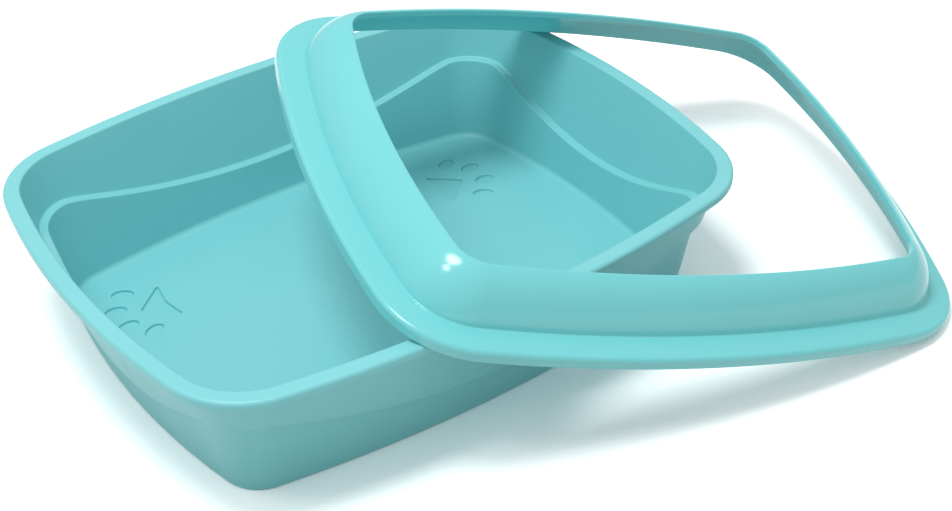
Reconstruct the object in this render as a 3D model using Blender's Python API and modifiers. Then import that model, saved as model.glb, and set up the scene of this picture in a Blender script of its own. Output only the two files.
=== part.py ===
"""Litter tray with a lift-off rim, in metres, +Z up.

The tray stands on the floor with its long side along X and its centre over the origin.
The rim leans on it: its low corner stands on the floor, its front side lies on the tray's
front lip and one end of the tray comes up through it. Seated, it closes round the lip.
"""

import math

import bmesh
import bpy
import numpy as np
from mathutils import Matrix, Vector
from mathutils.bvhtree import BVHTree

# Tray lip, seen from above: a rectangle with bowed sides and round corners
TRAY_LENGTH = 0.500
TRAY_WIDTH = 0.394
TRAY_HEIGHT = 0.111
LIP_LONG_BOW = 0.0248
LIP_SHORT_BOW = 0.0234
LIP_CORNER_RADIUS = 0.0671
LIP_WIDTH = 0.0124
LIP_SKIRT = 0.0065
LIP_EDGE_RADIUS = 0.003
LIP_INNER_RADIUS = 0.0015

# Tray wall, measured level, and its ledge, which dips at the middle of every side
TRAY_WALL = 0.0025
UPPER_WALL_DRAFT_SHARE = 0.223
LEDGE_WIDTH = 0.0065
LEDGE_CORNER_DROP = 0.037
LEDGE_MIDDLE_DROP = 0.0715
LEDGE_BLEND_SHARE = 0.12
LEDGE_HOLLOW_RADIUS = 0.0015
LEDGE_EDGE_RADIUS = 0.0012
LEDGE_OUTSIDE_RADIUS = 0.0015

# Tray base, the sharp outline at the floor
BASE_LENGTH = 0.4284
BASE_WIDTH = 0.3212
BASE_LONG_BOW = 0.0189
BASE_SHORT_BOW = 0.0176
BASE_CORNER_RADIUS = 0.0313
BASE_EDGE_RADIUS = 0.002
FLOOR_FILLET = 0.005

# Paw prints pressed into the tray's floor, one near each end, toes outwards
PRINT_DEPTH = 0.0013
PRINT_DRAFT = 0.0004
PRINT_BACK_GAP = 0.0776
PRINT_LEFT_GAP = 0.0622
PRINT_RIGHT_GAP = 0.0842
PAD_LENGTH = 0.023
PAD_WIDTH = 0.038
PAD_HOLLOW = 0.0035
PAD_CORNER_RADIUS = 0.004
PAD_HOLLOW_RADIUS = 0.018
TOE_LENGTH = 0.017
TOE_WIDTH = 0.011
INNER_TOE_REACH = 0.028
INNER_TOE_SPREAD = 0.011
INNER_TOE_SPLAY = math.radians(8)
OUTER_TOE_REACH = 0.014
OUTER_TOE_SPREAD = 0.027
OUTER_TOE_SPLAY = math.radians(25)
CUT_OVER = 0.002

# Rim, inside its skirt, seen from above: it closes loosely round the lip
RIM_LENGTH = 0.5026
RIM_WIDTH = 0.4027
RIM_LONG_BOW = 0.0244
RIM_SHORT_BOW = 0.0236
RIM_CORNER_RADIUS = 0.0696

# Rim section: a skirt, a flange that rises a little inwards, and a domed guard
RIM_WALL = 0.0025
RIM_SKIRT = 0.0094
RIM_EDGE_RADIUS = 0.0036
RIM_FLANGE_WIDTH = 0.0212
RIM_FLANGE_RISE = 0.001
RIM_STEP_RADIUS = 0.0008
RIM_HEIGHT = 0.0454
RIM_DOME_SHARE = 0.63
RIM_CREST_RADIUS = 0.0012
RIM_INNER_DROP = 0.006

# Opening that the guard narrows to
OPENING_LENGTH = 0.4055
OPENING_WIDTH = 0.3135
OPENING_LONG_BOW = 0.0179
OPENING_SHORT_BOW = 0.0158
OPENING_CORNER_RADIUS = 0.0241

# How the rim leans: its centre over the tray and its turn, then the first guess at its lean
RIM_ALONG_SHARE = 0.3355
RIM_ACROSS_SHARE = -0.2122
RIM_TURN = math.radians(-14.42)
RIM_START_HEIGHT = 0.0832
RIM_START_TILT_X = math.radians(12.7)
RIM_START_TILT_Y = math.radians(11.9)
REST_GAP = 0.0003

# Steps along the half long side, the corner and the half short side
LONG_STEPS = 7
CORNER_STEPS = 9
SHORT_STEPS = 5
EDGE_STEPS = 3
SMALL_EDGE_STEPS = 2
GUARD_STEPS = 7
TOE_SIDES = 16
REACH_SHARE = 0.45
SHARP_ANGLE = math.radians(35)
SEAM_MERGE = 0.0001
LEAN_ROUNDS = 40
LEAN_STEP_SHARE = 0.1
NUDGE_SHARE = 0.0005

TURQUOISE = (0.115, 0.56, 0.545, 1.0)


def clear_scene():
    for thing in list(bpy.data.objects):
        bpy.data.objects.remove(thing)


def make_collection(name):
    collection = bpy.data.collections.new(name)
    bpy.context.scene.collection.children.link(collection)
    return collection


def make_material(name, colour, roughness):
    material = bpy.data.materials.new(name)
    material.use_nodes = True
    shader = material.node_tree.nodes["Principled BSDF"]
    shader.inputs["Base Color"].default_value = colour
    shader.inputs["Roughness"].default_value = roughness
    shader.inputs["Metallic"].default_value = 0.0
    material.diffuse_color = colour
    return material


def outline_arcs(length, width, long_bow, short_bow, corner_radius):
    """The short side, corner and long side arcs of a quarter of a bowed rectangle."""
    half_x = length / 2 - short_bow
    half_y = width / 2 - long_bow
    long_radius = (half_x ** 2 + long_bow ** 2) / (2 * long_bow)
    short_radius = (half_y ** 2 + short_bow ** 2) / (2 * short_bow)
    long_centre = Vector((0, width / 2 - long_radius))
    short_centre = Vector((length / 2 - short_radius, 0))
    # The corner arc touches both side arcs from inside
    apart = short_centre - long_centre
    to_long = long_radius - corner_radius
    to_short = short_radius - corner_radius
    along = (to_long ** 2 - to_short ** 2 + apart.length_squared) / (2 * apart.length)
    aside = math.sqrt(to_long ** 2 - along ** 2)
    way = apart.normalized()
    corner_centre = long_centre + way * along + Vector((way.y, -way.x)) * aside
    from_long = corner_centre - long_centre
    from_short = corner_centre - short_centre
    long_start = math.atan2(from_long.y, from_long.x)
    short_end = math.atan2(from_short.y, from_short.x)
    return [(short_centre, short_radius, 0, short_end),
            (corner_centre, corner_radius, short_end, long_start),
            (long_centre, long_radius, long_start, math.pi / 2)]


def quarter_stations(arcs):
    """Stations from the middle of the short side round to the middle of the long side."""
    stations = []
    for (centre, radius, start, end), steps in zip(arcs, (SHORT_STEPS, CORNER_STEPS, LONG_STEPS)):
        for step in range(steps):
            stations.append((centre, radius, start + (end - start) * step / steps))
    centre, radius, _, end = arcs[-1]
    stations.append((centre, radius, end))
    return stations


def place(station, outwards, height):
    """A point of a station's section: so far out from the outline, and so high."""
    centre, radius, angle = station
    reach = radius + outwards
    return Vector((centre.x + reach * math.cos(angle), centre.y + reach * math.sin(angle), height))


def rounded(before, corner, after, radius, steps):
    """The arc that rounds a corner, held to less than half of the shorter side."""
    back = before - corner
    onward = after - corner
    half = back.angle(onward) / 2
    reach = min(radius / math.tan(half), REACH_SHARE * min(back.length, onward.length))
    radius = reach * math.tan(half)
    centre = corner + (back.normalized() + onward.normalized()).normalized() * radius / math.sin(half)
    first = corner + back.normalized() * reach - centre
    last = corner + onward.normalized() * reach - centre
    turn = math.pi - 2 * half
    aside = (last - first * math.cos(turn)) / math.sin(turn)
    angles = [turn * step / steps for step in range(steps + 1)]
    return [centre + first * math.cos(angle) + aside * math.sin(angle) for angle in angles]


def rounded_line(corners, roundings):
    """A line through corners, each inner one rounded by its radius and steps, if it has them."""
    line = [corners[0]]
    for index, rounding in enumerate(roundings, start=1):
        before, corner, after = corners[index - 1:index + 2]
        if rounding:
            line += rounded(before, corner, after, *rounding)
        else:
            line.append(corner)
    line.append(corners[-1])
    return line


def loft(mesh, sections, closed_floor=False):
    """Skin between neighbouring sections; the first and last points may close on the centre line."""
    rows = [[mesh.verts.new(point) for point in section] for section in sections]
    for left, right in zip(rows, rows[1:]):
        for upper in range(len(left) - 1):
            mesh.faces.new((left[upper], right[upper], right[upper + 1], left[upper + 1]))
    if closed_floor:
        for end, order in ((-1, 1), (0, -1)):
            ring = [row[end] for row in rows]
            middle = mesh.verts.new((0, 0, ring[0].co.z))
            mesh.faces.new((ring + [middle])[::order])


def make_quarter(name, sections, collection, material, closed_floor=False):
    """An object from a quarter's sections, mirrored across both middle planes."""
    mesh = bmesh.new()
    loft(mesh, sections, closed_floor)
    data = bpy.data.meshes.new(name)
    mesh.to_mesh(data)
    mesh.free()
    data.materials.append(material)
    data.shade_smooth()
    data.set_sharp_from_angle(angle=SHARP_ANGLE)
    thing = bpy.data.objects.new(name, data)
    collection.objects.link(thing)
    mirror = thing.modifiers.new("both_ways", "MIRROR")
    mirror.use_axis = (True, True, False)
    mirror.merge_threshold = SEAM_MERGE
    return thing


def ledge_drop(lip_point, arcs):
    """How far the ledge lies under the lip: least at the corners, most at mid side."""
    corner_centre, corner_radius, corner_start, corner_end = arcs[1]
    reach_x = corner_centre.x + corner_radius * math.cos(corner_end)
    reach_y = corner_centre.y + corner_radius * math.sin(corner_start)
    dip = 0
    for where, reach in ((lip_point.x, reach_x), (lip_point.y, reach_y)):
        share = 1 - (where / reach) ** 2
        dip += (share + math.hypot(share, LEDGE_BLEND_SHARE)) / 2
    return LEDGE_CORNER_DROP + (LEDGE_MIDDLE_DROP - LEDGE_CORNER_DROP) * dip


def tray_section(lip, base, arcs):
    """One section of the tray: over the lip and down the inside, then back along the outside."""
    top = TRAY_HEIGHT
    wall = TRAY_WALL
    draft = UPPER_WALL_DRAFT_SHARE
    drop = ledge_drop(place(lip, 0, top), arcs)
    ledge_out = -LIP_WIDTH - draft * drop
    ledge_in = ledge_out - LEDGE_WIDTH
    under_ledge = top - drop - wall
    step_foot = place(lip, ledge_in + wall, under_ledge)
    base_edge = place(base, 0, 0)
    # The lower wall's inside runs level with its outside, one wall further in
    outside_at_floor = base_edge.lerp(step_foot, wall / under_ledge)
    floor_edge = outside_at_floor + place(base, -wall, 0) - base_edge
    seen = [place(lip, 0, top - LIP_SKIRT),
            place(lip, 0, top),
            place(lip, -LIP_WIDTH, top),
            place(lip, ledge_out, top - drop),
            place(lip, ledge_in, top - drop),
            floor_edge,
            place(base, -wall - 3 * FLOOR_FILLET, wall)]
    seen_roundings = [(LIP_EDGE_RADIUS, EDGE_STEPS),
                      (LIP_INNER_RADIUS, SMALL_EDGE_STEPS),
                      (LEDGE_HOLLOW_RADIUS, 1),
                      (LEDGE_EDGE_RADIUS, SMALL_EDGE_STEPS),
                      (FLOOR_FILLET, EDGE_STEPS)]
    hidden = [place(base, -3 * BASE_EDGE_RADIUS, 0),
              base_edge,
              step_foot,
              place(lip, -LIP_WIDTH - draft * (drop + wall) + wall, under_ledge),
              place(lip, -LIP_WIDTH - draft * wall + wall, top - wall),
              place(lip, -wall, top - wall),
              place(lip, -wall, top - LIP_SKIRT)]
    hidden_roundings = [(BASE_EDGE_RADIUS, SMALL_EDGE_STEPS),
                        None,
                        (LEDGE_OUTSIDE_RADIUS, SMALL_EDGE_STEPS),
                        None,
                        None]
    seen_line = rounded_line(seen, seen_roundings)[:-1]
    hidden_line = rounded_line(hidden, hidden_roundings)[1:]
    return hidden_line, seen_line


def turned(centre, splay, flip):
    """Places a toe or pad: turned by its splay, and flipped to point to its own end."""
    return Matrix.Diagonal((flip, 1, 1, 1)) @ Matrix.Translation(centre) @ Matrix.Rotation(splay, 4, "Z")


def add_pad(mesh, matrix, foot, mouth):
    """The large pad of a print: a rounded triangle with a hollow base, point outwards."""
    back = -PAD_LENGTH / 2
    corners = [Vector((back, PAD_WIDTH / 2, 0)),
               Vector((back + PAD_HOLLOW, 0, 0)),
               Vector((back, -PAD_WIDTH / 2, 0)),
               Vector((PAD_LENGTH / 2, 0, 0))]
    radii = (PAD_CORNER_RADIUS, PAD_HOLLOW_RADIUS, PAD_CORNER_RADIUS, PAD_CORNER_RADIUS)
    outline = []
    for index, radius in enumerate(radii):
        before = corners[index - 1]
        after = corners[(index + 1) % len(corners)]
        outline += rounded(before, corners[index], after, radius, EDGE_STEPS)
    rings = []
    for height, grow in ((foot, -PRINT_DRAFT), (mouth, 0)):
        widen = 1 + 2 * grow / PAD_LENGTH
        rings.append([mesh.verts.new(matrix @ Vector((p.x * widen, p.y * widen, height))) for p in outline])
    lower, upper = rings
    for index in range(len(outline)):
        last = index - 1
        mesh.faces.new((lower[last], lower[index], upper[index], upper[last]))
    mesh.faces.new(lower)
    mesh.faces.new(upper)


def add_toe(mesh, matrix, foot, mouth):
    """One toe of a print: an oval that narrows a little towards its foot."""
    size = Matrix.Diagonal((TOE_LENGTH, TOE_WIDTH, 1, 1))
    lift = Matrix.Translation((0, 0, (foot + mouth) / 2))
    foot_share = 1 - 2 * PRINT_DRAFT / TOE_WIDTH
    bmesh.ops.create_cone(mesh, cap_ends=True, segments=TOE_SIDES, radius1=0.5 * foot_share, radius2=0.5,
                          depth=mouth - foot, matrix=matrix @ lift @ size)


def make_prints(collection):
    """The cutter for both paw prints, from under the floor's surface to over it."""
    foot = TRAY_WALL - PRINT_DEPTH
    mouth = TRAY_WALL + CUT_OVER
    across = BASE_WIDTH / 2 - PRINT_BACK_GAP
    mesh = bmesh.new()
    for flip, gap in ((-1, PRINT_LEFT_GAP), (1, PRINT_RIGHT_GAP)):
        along = BASE_LENGTH / 2 - gap
        add_pad(mesh, turned((along, across, 0), 0, flip), foot, mouth)
        for side in (-1, 1):
            inner = (along + INNER_TOE_REACH, across + side * INNER_TOE_SPREAD, 0)
            outer = (along + OUTER_TOE_REACH, across + side * OUTER_TOE_SPREAD, 0)
            add_toe(mesh, turned(inner, side * INNER_TOE_SPLAY, flip), foot, mouth)
            add_toe(mesh, turned(outer, side * OUTER_TOE_SPLAY, flip), foot, mouth)
    bmesh.ops.recalc_face_normals(mesh, faces=mesh.faces)
    data = bpy.data.meshes.new("print_cutter")
    mesh.to_mesh(data)
    mesh.free()
    cutter = bpy.data.objects.new("print_cutter", data)
    cutter.hide_render = True
    cutter.display_type = "WIRE"
    collection.objects.link(cutter)
    return cutter


def make_tray(collection, cutters, material, arcs):
    lip_stations = quarter_stations(arcs)
    base_arcs = outline_arcs(BASE_LENGTH, BASE_WIDTH, BASE_LONG_BOW, BASE_SHORT_BOW, BASE_CORNER_RADIUS)
    base_stations = quarter_stations(base_arcs)
    sections = []
    for lip, base in zip(lip_stations, base_stations):
        hidden_line, seen_line = tray_section(lip, base, arcs)
        sections.append(hidden_line + seen_line)
    tray = make_quarter("tray", sections, collection, material, closed_floor=True)
    cut = tray.modifiers.new("paw_prints", "BOOLEAN")
    cut.operation = "DIFFERENCE"
    cut.solver = "EXACT"
    cut.object = make_prints(cutters)
    return tray


def rim_section(skirt, opening):
    """One section of the rim's outside: up the skirt, over the flange and guard, into the opening."""
    foot = place(skirt, RIM_WALL - RIM_FLANGE_WIDTH, RIM_SKIRT + RIM_FLANGE_RISE)
    crest = place(opening, 0, RIM_HEIGHT)
    corners = [place(skirt, RIM_WALL, 0), place(skirt, RIM_WALL, RIM_SKIRT), foot]
    for step in range(1, GUARD_STEPS + 1):
        angle = math.pi / 2 * step / GUARD_STEPS
        inwards = 1 - math.cos(angle)
        upwards = math.sin(angle)
        # Part of the way from a straight slope to a quarter round
        slope = (inwards + upwards) / 2
        point = foot.lerp(crest, slope + (inwards - slope) * RIM_DOME_SHARE)
        point.z = foot.z + (crest.z - foot.z) * (slope + (upwards - slope) * RIM_DOME_SHARE)
        corners.append(point)
    corners.append(place(opening, 0, RIM_HEIGHT - RIM_INNER_DROP))
    roundings = [(RIM_EDGE_RADIUS, EDGE_STEPS), (RIM_STEP_RADIUS, 1)]
    roundings += [None] * (GUARD_STEPS - 1)
    roundings.append((RIM_CREST_RADIUS, SMALL_EDGE_STEPS))
    return rounded_line(corners, roundings)


def make_rim(collection, material):
    """The rim in its own frame: centre at the origin, its skirt's foot level at zero."""
    skirt_arcs = outline_arcs(RIM_LENGTH, RIM_WIDTH, RIM_LONG_BOW, RIM_SHORT_BOW, RIM_CORNER_RADIUS)
    opening_arcs = outline_arcs(OPENING_LENGTH, OPENING_WIDTH, OPENING_LONG_BOW, OPENING_SHORT_BOW,
                                OPENING_CORNER_RADIUS)
    stations = zip(quarter_stations(skirt_arcs), quarter_stations(opening_arcs))
    sections = [rim_section(skirt, opening) for skirt, opening in stations]
    rim = make_quarter("rim", sections, collection, material)
    shell = rim.modifiers.new("wall", "SOLIDIFY")
    shell.thickness = RIM_WALL
    shell.offset = -1
    shell.use_even_offset = True
    shell.use_quality_normals = True
    return rim


def rim_matrix(height, tilt_x, tilt_y):
    centre = (RIM_ALONG_SHARE * TRAY_LENGTH, RIM_ACROSS_SHARE * TRAY_WIDTH, height)
    tilts = Matrix.Rotation(tilt_y, 4, "Y") @ Matrix.Rotation(tilt_x, 4, "X")
    return Matrix.Translation(centre) @ tilts @ Matrix.Rotation(RIM_TURN, 4, "Z")


def edges_of(mesh):
    """Both ends of each edge of a mesh."""
    return [tuple(mesh.vertices[index].co.copy() for index in edge.vertices) for edge in mesh.edges]


def least_gap(tree, edges, least):
    """The least distance from the edges to a closed surface, below zero inside it, if it is under least."""
    waiting = list(edges)
    while waiting:
        one, two = waiting.pop()
        middle = (one + two) / 2
        half = (two - one).length / 2
        spot, normal, _, distance = tree.find_nearest(middle, abs(least) + half)
        if spot is None:
            continue
        # Beside a sharp edge the line to a point outside lies almost in the face
        if (middle - spot).dot(normal) < -distance / 2:
            distance = -distance
        least = min(least, distance)
        if distance - half < least and half > REST_GAP / 10:
            waiting += [(one, middle), (middle, two)]
    return least


def lean_rim(rim, tray):
    """Finds the height and the two tilts at which the rim rests on the floor and on the lip."""
    graph = bpy.context.evaluated_depsgraph_get()
    rim_tree = BVHTree.FromObject(rim, graph)
    tray_tree = BVHTree.FromObject(tray, graph)
    rim_edges = edges_of(rim.evaluated_get(graph).data)
    tray_edges = edges_of(tray.evaluated_get(graph).data)

    def misses(pose):
        matrix = rim_matrix(*pose)
        back = matrix.inverted()
        leaning = [(matrix @ one, matrix @ two) for one, two in rim_edges]
        gaps = [min(one.z for one, _ in leaning)]
        for side in (-1, 1):
            near = least_gap(tray_tree, [edge for edge in leaning if edge[0].y * side > 0], TRAY_HEIGHT)
            lip = [(back @ one, back @ two) for one, two in tray_edges if one.y * side > 0]
            gaps.append(least_gap(rim_tree, lip, near))
        return np.array(gaps) - REST_GAP

    pose = np.array((RIM_START_HEIGHT, RIM_START_TILT_X, RIM_START_TILT_Y))
    nudges = np.array((TRAY_HEIGHT, 1, 1)) * NUDGE_SHARE
    longest = np.array((TRAY_HEIGHT, 1, 1)) * LEAN_STEP_SHARE
    for _ in range(LEAN_ROUNDS):
        miss = misses(pose)
        if np.abs(miss).max() < REST_GAP / 10:
            break
        slopes = np.empty((3, 3))
        for column in range(3):
            nudged = pose.copy()
            nudged[column] += nudges[column]
            slopes[:, column] = (misses(nudged) - miss) / nudges[column]
        pose = pose + np.clip(np.linalg.solve(slopes, -miss), -longest, longest)
    print("rim rests: height", pose[0], "tilts", np.degrees(pose[1:]), "misses", miss)
    return pose


def main():
    clear_scene()
    parts = make_collection("litter_tray_with_rim")
    cutters = make_collection("cutters")
    satin = make_material("tray_plastic", TURQUOISE, 0.38)
    gloss = make_material("rim_plastic", TURQUOISE, 0.22)
    arcs = outline_arcs(TRAY_LENGTH, TRAY_WIDTH, LIP_LONG_BOW, LIP_SHORT_BOW, LIP_CORNER_RADIUS)
    tray = make_tray(parts, cutters, satin, arcs)
    rim = make_rim(parts, gloss)
    height, tilt_x, tilt_y = lean_rim(rim, tray)
    lift = bpy.data.objects.new("rim_lift", None)
    lift.location = (RIM_ALONG_SHARE * TRAY_LENGTH, RIM_ACROSS_SHARE * TRAY_WIDTH, 0)
    parts.objects.link(lift)
    rim.parent = lift
    rim.location = (0, 0, height)
    rim.rotation_mode = "ZXY"
    rim.rotation_euler = (tilt_x, tilt_y, RIM_TURN)


main()
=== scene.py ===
import math

import bmesh
import bpy
from mathutils import Matrix, Vector


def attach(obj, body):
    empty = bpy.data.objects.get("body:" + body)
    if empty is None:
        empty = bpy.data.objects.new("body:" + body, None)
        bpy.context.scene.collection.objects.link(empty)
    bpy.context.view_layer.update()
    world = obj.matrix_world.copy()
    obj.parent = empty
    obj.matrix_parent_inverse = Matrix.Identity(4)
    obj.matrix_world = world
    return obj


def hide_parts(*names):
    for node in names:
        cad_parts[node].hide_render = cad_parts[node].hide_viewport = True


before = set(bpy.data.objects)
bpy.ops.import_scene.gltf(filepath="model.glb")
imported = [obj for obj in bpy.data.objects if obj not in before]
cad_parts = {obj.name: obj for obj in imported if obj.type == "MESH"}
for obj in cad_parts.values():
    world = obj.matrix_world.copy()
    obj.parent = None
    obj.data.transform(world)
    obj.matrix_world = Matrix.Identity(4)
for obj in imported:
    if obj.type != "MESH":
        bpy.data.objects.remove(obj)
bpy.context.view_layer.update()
scene = bpy.context.scene


# helpers for material nodes

def startMaterial(name):
    material = bpy.data.materials.new(name)
    material.use_nodes = True
    nodes = material.node_tree.nodes
    return material, nodes, material.node_tree.links, nodes["Principled BSDF"]


def addNoise(nodes, links, coordinates, scale, detail=3.0):
    noise = nodes.new("ShaderNodeTexNoise")
    noise.inputs["Scale"].default_value = scale
    noise.inputs["Detail"].default_value = detail
    links.new(coordinates, noise.inputs["Vector"])
    return noise.outputs["Fac"]


noiseSpan = {"low": 0.3, "high": 0.7}  # where nearly all of a noise's values lie


def addRange(nodes, links, value, low, high):
    spread = nodes.new("ShaderNodeMapRange")
    spread.inputs["From Min"].default_value = noiseSpan["low"]
    spread.inputs["From Max"].default_value = noiseSpan["high"]
    spread.inputs["To Min"].default_value = low
    spread.inputs["To Max"].default_value = high
    links.new(value, spread.inputs["Value"])
    return spread.outputs["Result"]


def addBump(nodes, links, height, distance, under=None):
    bump = nodes.new("ShaderNodeBump")
    bump.inputs["Strength"].default_value = 1.0
    bump.inputs["Distance"].default_value = distance
    links.new(height, bump.inputs["Height"])
    if under is not None:
        links.new(under, bump.inputs["Normal"])
    return bump.outputs["Normal"]


# moulded plastic: one colour that wanders a little, a fine tool grain and slow waves of shrinkage

trayPlasticLook = {"colour": (0.215, 0.630, 0.660), "deeper": (0.205, 0.612, 0.642),
                   "roughness": (0.36, 0.44), "grainScale": 2600, "grainDepth": 0.00002,
                   "waveScale": 22, "waveDepth": 0.0002}
rimPlasticLook = {"colour": (0.190, 0.655, 0.675), "deeper": (0.183, 0.640, 0.660),
                  "roughness": (0.13, 0.19), "grainScale": 1800, "grainDepth": 0.000006,
                  "waveScale": 16, "waveDepth": 0.0002}
sharedLook = {"patchScale": 9, "smudgeScale": 35, "smudgeDetail": 5, "waveDetail": 1, "grainDetail": 2,
              "refraction": 1.49}


def mouldedPlastic(name, look):
    material, nodes, links, shader = startMaterial(name)
    coordinates = nodes.new("ShaderNodeTexCoord").outputs["Object"]
    patches = addNoise(nodes, links, coordinates, sharedLook["patchScale"])
    tint = nodes.new("ShaderNodeMix")
    tint.data_type = "RGBA"
    tint.inputs["A"].default_value = (*look["deeper"], 1)
    tint.inputs["B"].default_value = (*look["colour"], 1)
    links.new(addRange(nodes, links, patches, 0, 1), tint.inputs["Factor"])
    links.new(tint.outputs["Result"], shader.inputs["Base Color"])
    smudges = addNoise(nodes, links, coordinates, sharedLook["smudgeScale"], sharedLook["smudgeDetail"])
    links.new(addRange(nodes, links, smudges, *look["roughness"]), shader.inputs["Roughness"])
    waves = addNoise(nodes, links, coordinates, look["waveScale"], sharedLook["waveDetail"])
    grain = addNoise(nodes, links, coordinates, look["grainScale"], sharedLook["grainDetail"])
    slow = addBump(nodes, links, waves, look["waveDepth"])
    links.new(addBump(nodes, links, grain, look["grainDepth"], slow), shader.inputs["Normal"])
    shader.inputs["IOR"].default_value = sharedLook["refraction"]
    return material


trayPlastic = mouldedPlastic("trayPlastic", trayPlasticLook)
rimPlastic = mouldedPlastic("rimPlastic", rimPlasticLook)
print("materials done")


# outlines: bowed sides and round corners, as stations of a point and its way out

stepsRound = {"short": 14, "corner": 22, "long": 20}  # along half a short side, a corner, half a long side


def outlineStations(size):
    halfX = size["length"] / 2 - size["shortBow"]
    halfY = size["width"] / 2 - size["longBow"]
    longRadius = (halfX ** 2 + size["longBow"] ** 2) / (2 * size["longBow"])
    shortRadius = (halfY ** 2 + size["shortBow"] ** 2) / (2 * size["shortBow"])
    longCentre = Vector((0, size["width"] / 2 - longRadius))
    shortCentre = Vector((size["length"] / 2 - shortRadius, 0))
    # the corner arc touches both side arcs from inside
    apart = shortCentre - longCentre
    toLong = longRadius - size["cornerRadius"]
    toShort = shortRadius - size["cornerRadius"]
    along = (toLong ** 2 - toShort ** 2 + apart.length_squared) / (2 * apart.length)
    aside = math.sqrt(toLong ** 2 - along ** 2)
    way = apart.normalized()
    cornerCentre = longCentre + way * along + Vector((way.y, -way.x)) * aside
    shortEnd = math.atan2(*reversed(cornerCentre - shortCentre))
    longStart = math.atan2(*reversed(cornerCentre - longCentre))
    arcs = [(shortCentre, shortRadius, 0, shortEnd, stepsRound["short"]),
            (cornerCentre, size["cornerRadius"], shortEnd, longStart, stepsRound["corner"]),
            (longCentre, longRadius, longStart, math.pi / 2, stepsRound["long"])]
    quarter = []
    for centre, radius, start, end, steps in arcs:
        for step in range(steps + (end == math.pi / 2)):
            angle = start + (end - start) * step / steps
            outwards = Vector((math.cos(angle), math.sin(angle)))
            quarter.append((centre + outwards * radius, outwards))
    half = quarter + flipped(quarter[:-1], Vector((-1, 1)))
    return half + flipped(half[1:-1], Vector((1, -1)))


def flipped(stations, flip):
    return [(point * flip, outwards * flip) for point, outwards in reversed(stations)]


def place(station, outwards, height):
    point, way = station
    return (point + way * outwards).to_3d() + Vector((0, 0, height))


# rings: a circle is pulled to the outline at the section's first corner, then extruded from corner to corner

def addRings(bm, sections):
    station = bm.verts.layers.int.new("station")
    verts = bmesh.ops.create_circle(bm, cap_ends=False, segments=len(sections), radius=1)["verts"]
    for index, vert in enumerate(verts):
        vert[station] = index
        vert.co = sections[index][0]
    rings = [list({edge for vert in verts for edge in vert.link_edges})]
    for corner in range(1, len(sections[0])):
        raised = bmesh.ops.extrude_edge_only(bm, edges=rings[-1])["geom"]
        verts = {item for item in raised if isinstance(item, bmesh.types.BMVert)}
        for vert in verts:
            vert.co = sections[vert[station]][corner]
        edges = [item for item in raised if isinstance(item, bmesh.types.BMEdge)]
        rings.append([edge for edge in edges if verts.issuperset(edge.verts)])
    return rings


def closeRings(bm, rings):
    # the last ring lies on the first and is welded to it
    station = bm.verts.layers.int["station"]
    ends = (rings[0], rings.pop())
    first, last = ({vert[station]: vert for edge in ring for vert in edge.verts} for ring in ends)
    bmesh.ops.weld_verts(bm, targetmap={last[index]: first[index] for index in first})


def roundRing(bm, ring, radius, segments):
    turn = sum(edge.calc_face_angle() for edge in ring) / len(ring)
    bmesh.ops.bevel(bm, geom=ring, offset=radius * math.tan(turn / 2), offset_type="OFFSET", affect="EDGES",
                    segments=segments, profile=0.5, material=-1, clamp_overlap=True)


def finishPiece(bm, name, body, material, sharpAngle):
    bmesh.ops.recalc_face_normals(bm, faces=bm.faces)
    mesh = bpy.data.meshes.new(name)
    bm.to_mesh(mesh)
    bm.free()
    mesh.materials.append(material)
    mesh.shade_smooth()
    mesh.set_sharp_from_angle(angle=math.radians(sharpAngle))
    piece = bpy.data.objects.new(name, mesh)
    scene.collection.objects.link(piece)
    evenNormals = piece.modifiers.new("evenNormals", "WEIGHTED_NORMAL")
    evenNormals.keep_sharp = True
    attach(piece, body)
    return piece


# tray

traySize = {"length": 0.500, "width": 0.394, "longBow": 0.0248, "shortBow": 0.0234, "cornerRadius": 0.0671,
            "height": 0.111, "wall": 0.0025, "lipWidth": 0.0124, "lipSkirt": 0.0065, "lipEdge": 0.003,
            "lipInner": 0.0015, "skirtFoot": 0.0005, "draft": 0.223, "ledgeWidth": 0.0065,
            "ledgeCornerDrop": 0.037, "ledgeMiddleDrop": 0.0715, "ledgeBlend": 0.12, "ledgeHollow": 0.0015,
            "ledgeEdge": 0.0012, "ledgeOutside": 0.0015, "baseEdge": 0.002, "floorFillet": 0.005,
            "hiddenRound": 0.001, "sharpAngle": 40}
baseSize = {"length": 0.4284, "width": 0.3212, "longBow": 0.0189, "shortBow": 0.0176, "cornerRadius": 0.0313}


def ledgeDrop(point, reach):
    # least at the corners and most in the middle of every side
    dip = 0
    for where, end in zip(point, reach):
        share = 1 - (where / end) ** 2
        dip += (share + math.hypot(share, traySize["ledgeBlend"])) / 2
    return traySize["ledgeCornerDrop"] + (traySize["ledgeMiddleDrop"] - traySize["ledgeCornerDrop"]) * dip


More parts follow.
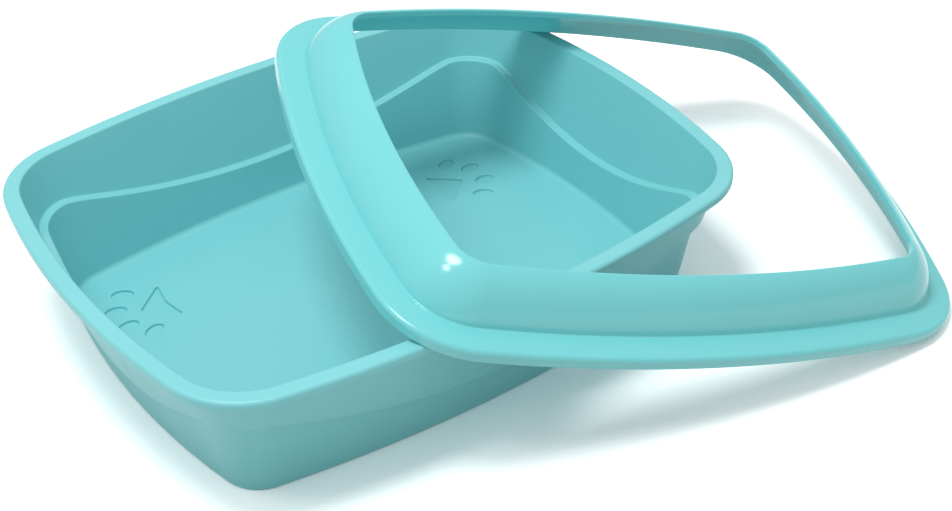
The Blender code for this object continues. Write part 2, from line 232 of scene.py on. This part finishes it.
def traySection(lip, base, reach):
    top, wall, draft = traySize["height"], traySize["wall"], traySize["draft"]
    inner, skirt = -traySize["lipWidth"], top - traySize["lipSkirt"]
    drop = ledgeDrop(lip[0], reach)
    ledgeOut = inner - draft * drop
    ledgeIn = ledgeOut - traySize["ledgeWidth"]
    underLedge = top - drop - wall
    stepFoot = place(lip, ledgeIn + wall, underLedge)
    baseEdge = place(base, 0, 0)
    floorEdge = baseEdge.lerp(stepFoot, wall / underLedge) + place(base, -wall, 0) - baseEdge
    return {"baseEdge": baseEdge,
            "stepFoot": stepFoot,
            "ledgeOutside": place(lip, inner - draft * (drop + wall) + wall, underLedge),
            "lipRoot": place(lip, inner - draft * wall + wall, top - wall),
            "underLip": place(lip, -wall, top - wall),
            "skirtInner": place(lip, -wall, skirt),
            "skirtOuter": place(lip, 0, skirt),
            "lipEdge": place(lip, 0, top),
            "lipInner": place(lip, inner, top),
            "ledgeHollow": place(lip, ledgeOut, top - drop),
            "ledgeEdge": place(lip, ledgeIn, top - drop),
            "floorEdge": floorEdge}


# the radius and the segments of every corner, in the section's order
trayRoundings = {"baseEdge": (traySize["baseEdge"], 5), "stepFoot": (traySize["hiddenRound"], 2),
                 "ledgeOutside": (traySize["ledgeOutside"], 4),
                 "lipRoot": (traySize["hiddenRound"], 2), "underLip": (traySize["hiddenRound"], 2),
                 "skirtInner": (traySize["skirtFoot"], 2), "skirtOuter": (traySize["skirtFoot"], 2),
                 "lipEdge": (traySize["lipEdge"], 7), "lipInner": (traySize["lipInner"], 5),
                 "ledgeHollow": (traySize["ledgeHollow"], 4), "ledgeEdge": (traySize["ledgeEdge"], 4),
                 "floorEdge": (traySize["floorFillet"], 8)}


# paw prints pressed into the tray's floor, one near each end, toes outwards

printSize = {"depth": 0.0022, "draft": 0.0002, "backGap": 0.0776, "leftGap": 0.0622, "rightGap": 0.0828,
             "padLength": 0.0265, "padWidth": 0.045, "padHollow": 0.004, "pointRound": 0.0035,
             "cornerRound": 0.0035, "hollowRound": 0.0035, "toeLength": 0.018, "toeWidth": 0.012,
             "innerToe": (0.0285, 0.011, 8), "outerToe": (0.0145, 0.0275, 25),  # reach, spread and splay
             "mouthRound": 0.0007, "cutOver": 0.0004, "padSegments": 10, "toeSegments": 48,
             "mouthSegments": 3, "mouthAngle": 0.5, "nearly": 0.00001}  # the angle in radians


def addPad(bm, matrix, foot, mouth):
    back, side, point = -printSize["padLength"] / 2, printSize["padWidth"] / 2, printSize["padLength"] / 2
    corners = [((back, side), "cornerRound"), ((back + printSize["padHollow"], 0), "hollowRound"),
               ((back, -side), "cornerRound"), ((point, 0), "pointRound")]
    pad = bmesh.new()
    verts = [pad.verts.new((*where, foot)) for where, _ in corners]
    pad.faces.new(verts)
    for vert, (_, rounding) in zip(verts, corners):
        bmesh.ops.bevel(pad, geom=[vert], offset=printSize[rounding], offset_type="OFFSET",
                        affect="VERTICES", segments=printSize["padSegments"], profile=0.5, material=-1)
    raised = bmesh.ops.extrude_face_region(pad, geom=list(pad.faces))["geom"]
    mouthVerts = [item for item in raised if isinstance(item, bmesh.types.BMVert)]
    bmesh.ops.translate(pad, verts=mouthVerts, vec=(0, 0, mouth - foot))
    narrower = 1 - 2 * printSize["draft"] / printSize["padLength"]
    footVerts = [vert for vert in pad.verts if vert not in mouthVerts]
    bmesh.ops.scale(pad, verts=footVerts, vec=(narrower, narrower, 1))
    bmesh.ops.transform(pad, matrix=matrix, verts=pad.verts)
    joined = bpy.data.meshes.new("pad")
    pad.to_mesh(joined)
    pad.free()
    bm.from_mesh(joined)
    bpy.data.meshes.remove(joined)


def addToe(bm, matrix, foot, mouth):
    shape = Matrix.Diagonal((printSize["toeLength"], printSize["toeWidth"], 1, 1))
    lift = Matrix.Translation((0, 0, (foot + mouth) / 2))
    narrower = 1 - 2 * printSize["draft"] / printSize["toeWidth"]
    bmesh.ops.create_cone(bm, cap_ends=True, segments=printSize["toeSegments"], radius1=narrower / 2,
                          radius2=0.5, depth=mouth - foot, matrix=matrix @ lift @ shape)


def printCutter():
    foot = traySize["wall"] - printSize["depth"]
    mouth = traySize["wall"] + printSize["cutOver"]
    across = baseSize["width"] / 2 - printSize["backGap"]
    bm = bmesh.new()
    for flip, gap in ((-1, printSize["leftGap"]), (1, printSize["rightGap"])):
        along = baseSize["length"] / 2 - gap
        ways = Matrix.Diagonal((flip, 1, 1, 1))
        addPad(bm, ways @ Matrix.Translation((along, across, 0)), foot, mouth)
        for reach, spread, splay in (printSize["innerToe"], printSize["outerToe"]):
            for side in (-1, 1):
                spot = Matrix.Translation((along + reach, across + side * spread, 0))
                turn = Matrix.Rotation(side * math.radians(splay), 4, "Z")
                addToe(bm, ways @ spot @ turn, foot, mouth)
    bmesh.ops.recalc_face_normals(bm, faces=bm.faces)
    mesh = bpy.data.meshes.new("printCutter")
    bm.to_mesh(mesh)
    bm.free()
    cutter = bpy.data.objects.new("printCutter", mesh)
    scene.collection.objects.link(cutter)
    return cutter


def pressPrints(bm):
    mesh = bpy.data.meshes.new("uncutTray")
    bm.to_mesh(mesh)
    bm.free()
    uncut = bpy.data.objects.new("uncutTray", mesh)
    scene.collection.objects.link(uncut)
    cutter = printCutter()
    cut = uncut.modifiers.new("prints", "BOOLEAN")
    cut.operation = "DIFFERENCE"
    cut.solver = "EXACT"
    cut.object = cutter
    graph = bpy.context.evaluated_depsgraph_get()
    pressed = bmesh.new()
    pressed.from_object(uncut, graph)
    for spare in (uncut, cutter):
        bpy.data.objects.remove(spare)
    # the mouth of every print is softly rounded
    mouths = [edge for edge in pressed.edges
              if edge.is_manifold and edge.calc_face_angle() > printSize["mouthAngle"]
              and all(abs(vert.co.z - traySize["wall"]) < printSize["nearly"] for vert in edge.verts)]
    bmesh.ops.bevel(pressed, geom=mouths, offset=printSize["mouthRound"], offset_type="OFFSET",
                    affect="EDGES", segments=printSize["mouthSegments"], profile=0.5, material=-1)
    return pressed


def buildTray():
    lips, bases = outlineStations(traySize), outlineStations(baseSize)
    # the ledge's low arcs end where the corner arcs of the lip begin
    reach = (lips[stepsRound["short"] + stepsRound["corner"]][0].x, lips[stepsRound["short"]][0].y)
    sections = [traySection(lip, base, reach) for lip, base in zip(lips, bases)]
    bm = bmesh.new()
    rings = addRings(bm, [list(section.values()) for section in sections])
    bmesh.ops.contextual_create(bm, geom=rings[0])
    bmesh.ops.contextual_create(bm, geom=rings[-1])
    bmesh.ops.recalc_face_normals(bm, faces=bm.faces)
    for name, ring in zip(sections[0], rings):
        roundRing(bm, ring, *trayRoundings[name])
    pressed = pressPrints(bm)
    tray = finishPiece(pressed, "satinTray", "tray", trayPlastic, traySize["sharpAngle"])
    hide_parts("tray")
    return tray


tray = buildTray()
print("tray done", len(tray.data.polygons), "faces")


# rim: a skirt that closes round the tray's lip, a flange and a domed guard up to the opening

rimSize = {"length": 0.5026, "width": 0.4027, "longBow": 0.0244, "shortBow": 0.0236, "cornerRadius": 0.0696,
           "wall": 0.0025, "skirt": 0.0094, "skirtEdge": 0.0036, "skirtFoot": 0.0004, "flangeWidth": 0.0212,
           "flangeRise": 0.001, "step": 0.0008, "height": 0.0454, "domeShare": 0.63, "domeSteps": 16,
           "crest": 0.0012, "innerDrop": 0.006, "sharpAngle": 40,
           "centre": (0.16775, -0.0836068, 0.0832616), "tiltX": 12.70951, "tiltY": 11.87931, "turn": -14.42}
openingSize = {"length": 0.4055, "width": 0.3135, "longBow": 0.0179, "shortBow": 0.0158,
               "cornerRadius": 0.0241}


def rimSection(skirt, opening):
    wall, height, steps = rimSize["wall"], rimSize["height"], rimSize["domeSteps"]
    foot = place(skirt, wall - rimSize["flangeWidth"], rimSize["skirt"] + rimSize["flangeRise"])
    crest = place(opening, 0, height)
    line = [place(skirt, wall, 0), place(skirt, wall, rimSize["skirt"]), foot]
    for step in range(1, steps + 1):
        # part of the way from a straight slope to a quarter round
        angle = math.pi / 2 * step / steps
        inwards, upwards = 1 - math.cos(angle), math.sin(angle)
        slope = (inwards + upwards) / 2
        point = foot.lerp(crest, slope + (inwards - slope) * rimSize["domeShare"])
        point.z = foot.z + (height - foot.z) * (slope + (upwards - slope) * rimSize["domeShare"])
        line.append(point)
    line.append(place(opening, 0, height - rimSize["innerDrop"]))
    return line + innerLine(line, skirt[1])[::-1] + line[:1]


def innerLine(line, way):
    # the same line one wall further in, with its corners mitred
    across = Vector((-way.y, way.x, 0))
    outs = [across.cross(onward - point).normalized() for point, onward in zip(line, line[1:])]
    inner = []
    for point, before, after in zip(line, outs[:1] + outs, outs + outs[-1:]):
        inner.append(point - (before + after) * rimSize["wall"] / (1 + before.dot(after)))
    return inner


def buildRim():
    stations = zip(outlineStations(rimSize), outlineStations(openingSize))
    bm = bmesh.new()
    rings = addRings(bm, [rimSection(skirt, opening) for skirt, opening in stations])
    closeRings(bm, rings)
    bmesh.ops.recalc_face_normals(bm, faces=bm.faces)
    # the outer line runs from the skirt over the step to the crest and the opening, and the inner one back
    skirtEdge, step = 1, 2
    crest = step + rimSize["domeSteps"]
    innerFoot = len(rings) - 1
    small, wall = rimSize["skirtFoot"], rimSize["wall"]
    roundings = {0: (small, 3), skirtEdge: (rimSize["skirtEdge"], 7), step: (rimSize["step"], 4),
                 crest: (rimSize["crest"], 5), crest + 1: (small, 3), crest + 2: (small, 3),
                 innerFoot - step: (rimSize["step"] + wall, 4),
                 innerFoot - skirtEdge: (rimSize["skirtEdge"] - wall, 4), innerFoot: (small, 3)}
    for index, rounding in roundings.items():
        roundRing(bm, rings[index], *rounding)
    tilts = Matrix.Rotation(math.radians(rimSize["tiltY"]), 4, "Y")
    tilts = tilts @ Matrix.Rotation(math.radians(rimSize["tiltX"]), 4, "X")
    turn = Matrix.Rotation(math.radians(rimSize["turn"]), 4, "Z")
    lean = Matrix.Translation(rimSize["centre"]) @ tilts @ turn
    bmesh.ops.transform(bm, matrix=lean, verts=bm.verts)
    rim = finishPiece(bm, "glossyRim", "rim", rimPlastic, rimSize["sharpAngle"])
    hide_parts("rim")
    return rim


rim = buildRim()
print("rim done", len(rim.data.polygons), "faces")

for nodeName, material in (("tray", trayPlastic), ("rim", rimPlastic)):
    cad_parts[nodeName].material_slots[0].material = material


# floor and backdrop

floorLook = {"size": 30, "colour": (0.56, 0.57, 0.57), "seenColour": (1.36, 1.37, 1.37), "roughness": 0.7}


def buildFloor():
    bpy.ops.mesh.primitive_plane_add(size=floorLook["size"])
    floor = bpy.context.object
    floor.name = "floor"
    material, nodes, links, shader = startMaterial("paleFloor")
    shader.inputs["Roughness"].default_value = floorLook["roughness"]
    shader.inputs["Specular IOR Level"].default_value = 0.0
    path = nodes.new("ShaderNodeLightPath")
    seen = nodes.new("ShaderNodeMath")
    seen.operation = "MAXIMUM"
    links.new(path.outputs["Is Camera Ray"], seen.inputs[0])
    links.new(path.outputs["Is Glossy Ray"], seen.inputs[1])
    # the camera and the gloss see a floor so bright that it is white, and it throws back less on the object
    white = nodes.new("ShaderNodeMix")
    white.data_type = "RGBA"
    white.inputs["A"].default_value = (*floorLook["colour"], 1)
    white.inputs["B"].default_value = (*floorLook["seenColour"], 1)
    links.new(seen.outputs["Value"], white.inputs["Factor"])
    links.new(white.outputs["Result"], shader.inputs["Base Color"])
    floor.data.materials.append(material)
    return floor


buildFloor()


# light: an even white room, one broad lamp over it and a smaller one that marks the gloss

worldLook = {"colour": (1.0, 1.0, 1.0), "light": 0.63}
lamps = {
    "overhead": {"place": (-0.48, 0, 2.4), "aim": (0, 0, 0), "size": 0.8, "power": 27},
    "softbox": {"place": (-1.0, -0.15, 1.9), "aim": (0, 0, 0.05), "size": 0.35, "power": 5},
}


def buildWorld():
    world = bpy.data.worlds.new("room")
    scene.world = world
    world.use_nodes = True
    nodes, links = world.node_tree.nodes, world.node_tree.links
    background = nodes["Background"]
    background.inputs["Color"].default_value = (*worldLook["colour"], 1)
    path = nodes.new("ShaderNodeLightPath")
    white = nodes.new("ShaderNodeMath")
    white.operation = "MAXIMUM"
    links.new(path.outputs["Is Camera Ray"], white.inputs[0])
    white.inputs[1].default_value = worldLook["light"]
    links.new(white.outputs["Value"], background.inputs["Strength"])


def buildLamps():
    for name, setting in lamps.items():
        lamp = bpy.data.lights.new(name, "AREA")
        lamp.shape = "DISK"
        lamp.size = setting["size"]
        lamp.energy = setting["power"]
        holder = bpy.data.objects.new(name, lamp)
        scene.collection.objects.link(holder)
        holder.location = setting["place"]
        towards = Vector(setting["aim"]) - Vector(setting["place"])
        holder.rotation_euler = towards.to_track_quat("-Z", "Y").to_euler()


buildWorld()
buildLamps()
print("floor and light done")


# camera

cameraLook = {"place": (-0.5320, -0.8645, 0.7796), "towards": 36.0546, "down": 36.4543, "roll": 0.3715,
              "lens": 60.975, "sensor": 36}


def buildCamera():
    camera = bpy.data.cameras.new("camera")
    camera.lens = cameraLook["lens"]
    camera.sensor_width = cameraLook["sensor"]
    holder = bpy.data.objects.new("camera", camera)
    scene.collection.objects.link(holder)
    heading = Matrix.Rotation(-math.radians(cameraLook["towards"]), 4, "Z")
    tilt = Matrix.Rotation(math.radians(90 - cameraLook["down"]), 4, "X")
    roll = Matrix.Rotation(-math.radians(cameraLook["roll"]), 4, "Z")
    holder.matrix_world = Matrix.Translation(cameraLook["place"]) @ heading @ tilt @ roll
    scene.camera = holder


buildCamera()
scene.view_settings.view_transform = "Standard"
